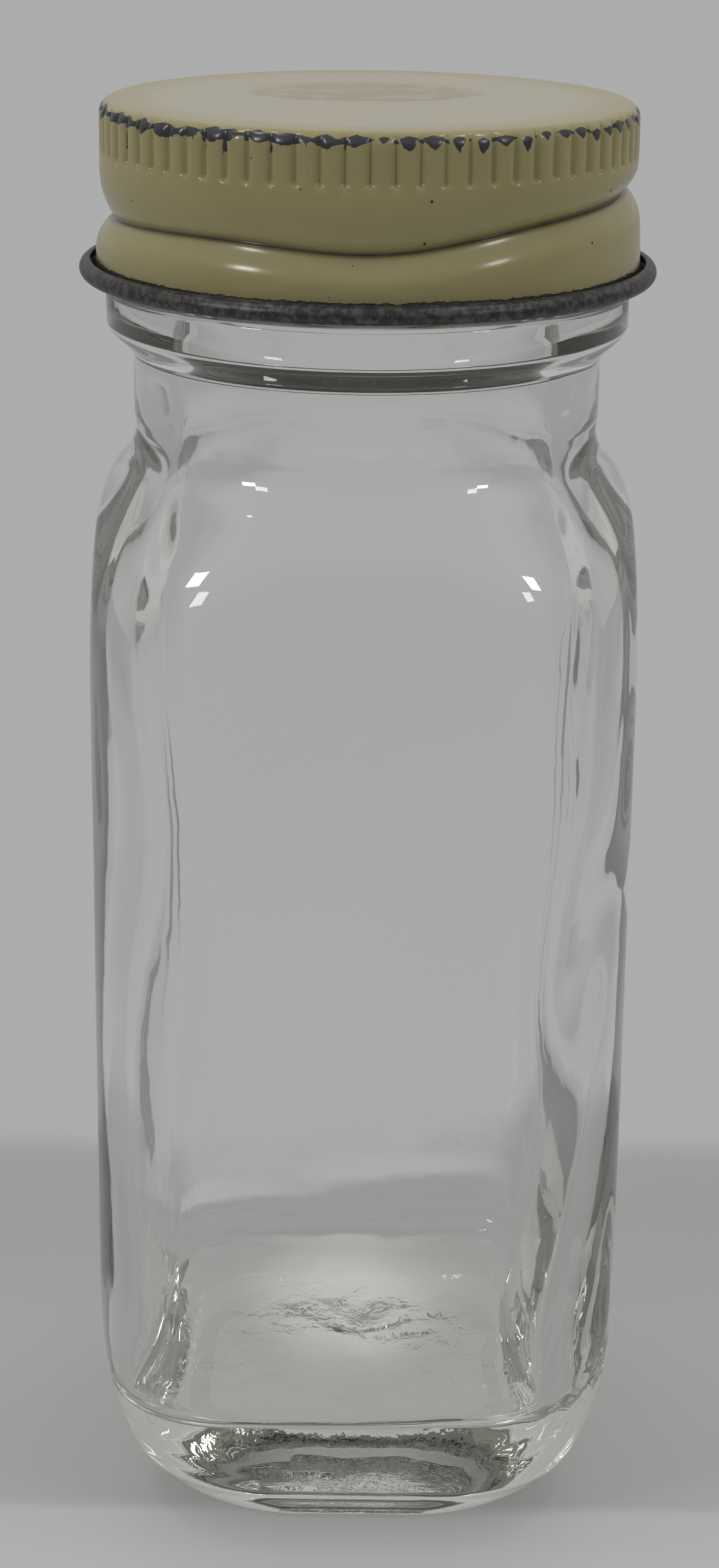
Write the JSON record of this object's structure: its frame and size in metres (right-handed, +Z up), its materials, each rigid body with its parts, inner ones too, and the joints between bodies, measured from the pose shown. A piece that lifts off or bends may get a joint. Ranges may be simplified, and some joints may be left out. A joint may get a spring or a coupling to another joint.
{
  "type": "apothecary bottle",
  "caption": "Square clear-glass bottle with rounded corners, a heavy base and a knurled, thread-rolled tinplate screw cap with a curled hem.",
  "frame": {"origin": "centre of the underside, on the plane that the bottle stands on", "axes": "+Z up along the bottle's axis, towards the cap; -Y is the front; the flat sides face +X, -X, +Y and -Y"},
  "size_m": [0.036, 0.036, 0.0923],
  "materials": {
    "glass_bottle": "clear flint glass, fire polished",
    "cap_shell": "worn satin lacquer on tinplate",
    "cap_liner_board": "matt pulp board",
    "cap_liner_facing": "waxed facing"
  },
  "bodies": {
    "bottle": {"glass_bottle": "glass_bottle"},
    "liner": {"cap_liner_board": "cap_liner_board", "cap_liner_facing": "cap_liner_facing"},
    "cap": {"cap_shell": "cap_shell"}
  },
  "joints": [
    {"name": "cap_rise", "type": "slide", "parent": "bottle", "child": "liner", "axis": [0, 0, 1], "range_m": [0, 0.0128]},
    {"name": "cap_turn", "type": "hinge", "parent": "liner", "child": "cap", "pos_m": [0, 0, 0.0814], "axis": [0, 0, 1], "range_deg": [0, 1080]}
  ],
  "couplings": [
    {"joint": "cap_rise", "follows": "cap_turn", "m_per_rad": 0.0006737}
  ]
}
